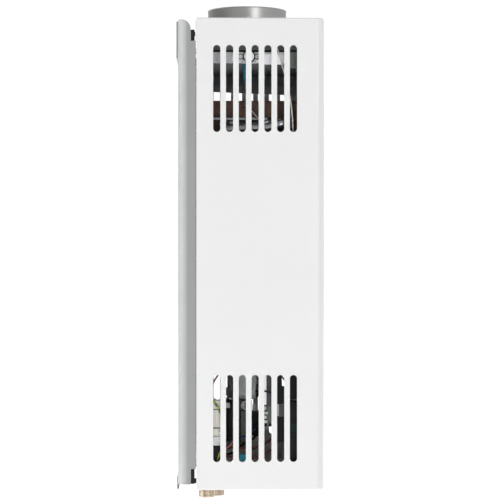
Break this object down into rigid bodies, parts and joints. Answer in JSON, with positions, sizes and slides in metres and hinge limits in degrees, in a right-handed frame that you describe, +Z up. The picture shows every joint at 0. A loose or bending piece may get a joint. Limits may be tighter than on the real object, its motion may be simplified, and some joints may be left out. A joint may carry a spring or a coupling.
{
  "type": "wall-hung tankless gas water heater",
  "caption": "Slim wall-hung tankless propane water heater: vented white case, grey hanging plate, round flue collar on top, brass water and gas connections below.",
  "frame": {"origin": "rear face of the top hanging pad, midway between the hanging holes, in the wall plane", "axes": "+Z up along the case's height, +X to the right seen from the front, the front faces -Y and the wall is at Y = 0"},
  "size_m": [0.355, 0.1942, 0.672],
  "materials": {
    "white_paint": "gloss powder coat",
    "grey_paint": "satin powder coat",
    "black_plastic": "fine grained",
    "zinc_screw": "zinc plated",
    "galvanised": "galvanised sheet",
    "flue_steel": "spun steel",
    "thermostat": "moulded phenolic",
    "hot_copper": "heat darkened copper",
    "copper_tube": "drawn copper, tinned in places",
    "stainless": "pressed stainless steel",
    "brass": "machined brass",
    "ceramic": "glazed ceramic",
    "electrode": "heat-proof wire",
    "casting": "die cast, grey-green",
    "rubber": "moulded rubber",
    "grey_plastic": "glass-filled nylon",
    "offwhite_plastic": "moulded",
    "panel_gloss": "piano black",
    "button": "satin silver",
    "lens": "smoked window",
    "board": "green laminate",
    "cells": "wrapped cell, plain",
    "glass": "clear",
    "teal_wire": "silicone insulation",
    "wire_mix": "insulated leads of several colours"
  },
  "bodies": {
    "case": {"front_cover": "white_paint", "back_plate": "grey_paint", "standoff_blocks": "black_plastic", "cover_screws": "zinc_screw", "flue_collar": "flue_steel", "collar_rivets": "zinc_screw", "draught_hood": "galvanised", "thermostat_bracket": "galvanised", "spill_thermostat": "thermostat", "combustion_chamber": "hot_copper", "exchanger_end_plates": "hot_copper", "exchanger_fins": "hot_copper", "exchanger_tubes": "copper_tube", "water_coil": "copper_tube", "hot_pipe": "copper_tube", "burner_frame": "galvanised", "burner_bars": "stainless", "gas_manifold": "galvanised", "burner_injectors": "brass", "electrode_plate": "stainless", "electrode_ceramics": "ceramic", "electrode_rods": "electrode", "air_trough": "galvanised", "connection_bracket": "galvanised", "hot_outlet_fitting": "brass", "cold_inlet_fitting": "brass", "gas_inlet_fitting": "brass", "inlet_strainer": "grey_plastic", "water_valve_body": "casting", "valve_diaphragm": "rubber", "water_valve_cover": "casting", "valve_screws": "zinc_screw", "micro_switch": "black_plastic", "gas_valve_body": "casting", "pressure_screw": "brass", "main_solenoid": "black_plastic", "modulating_coil": "black_plastic", "gas_pipe": "copper_tube", "union_nuts": "brass", "controller_box": "offwhite_plastic", "connector_block": "black_plastic", "mounting_brackets": "galvanised", "ignition_transformer": "black_plastic", "battery_box": "black_plastic", "hinge_pins": "zinc_screw", "battery_cells": "cells", "panel_bezel": "panel_gloss", "display_lens": "lens", "panel_board": "board", "window_frame": "panel_gloss", "window_glass": "glass", "thermostat_lead": "teal_wire", "wiring_loom": "wire_mix"},
    "power_button_body": {"power_button": "button"},
    "plus_button_body": {"plus_button": "button"},
    "minus_button_body": {"minus_button": "button"},
    "battery_lid_body": {"battery_lid": "black_plastic"},
    "push_rod_body": {"push_rod": "brass"},
    "switch_lever_body": {"switch_lever": "stainless"},
    "drain_plug_body": {"drain_plug": "grey_plastic"}
  },
  "joints": [
    {"name": "power_button_press", "type": "slide", "parent": "case", "child": "power_button_body", "axis": [0, 1, 0], "range_m": [0, 0.0008], "stiffness_N_per_m": 400, "springref_m": -0.0006},
    {"name": "plus_button_press", "type": "slide", "parent": "case", "child": "plus_button_body", "axis": [0, 1, 0], "range_m": [0, 0.0008], "stiffness_N_per_m": 400, "springref_m": -0.0006},
    {"name": "minus_button_press", "type": "slide", "parent": "case", "child": "minus_button_body", "axis": [0, 1, 0], "range_m": [0, 0.0008], "stiffness_N_per_m": 400, "springref_m": -0.0006},
    {"name": "battery_lid_hinge", "type": "hinge", "parent": "case", "child": "battery_lid_body", "pos_m": [-0.126, -0.151, -0.581], "axis": [1, 0, 0], "range_deg": [0, 95]},
    {"name": "push_rod_slide", "type": "slide", "parent": "case", "child": "push_rod_body", "axis": [-1, 0, 0], "range_m": [0, 0.005], "stiffness_N_per_m": 900, "springref_m": -0.002},
    {"name": "switch_lever_hinge", "type": "hinge", "parent": "case", "child": "switch_lever_body", "pos_m": [0.051, -0.071, -0.543], "axis": [0, -1, 0], "range_deg": [0, 14.4]},
    {"name": "drain_plug_turn", "type": "hinge", "parent": "case", "child": "drain_plug_body", "pos_m": [0.12, -0.0605, -0.584], "axis": [0, 0, 1], "range_deg": [0, 360]}
  ],
  "couplings": [
    {"joint": "switch_lever_hinge", "follows": "push_rod_slide", "rad_per_m": 50}
  ]
}
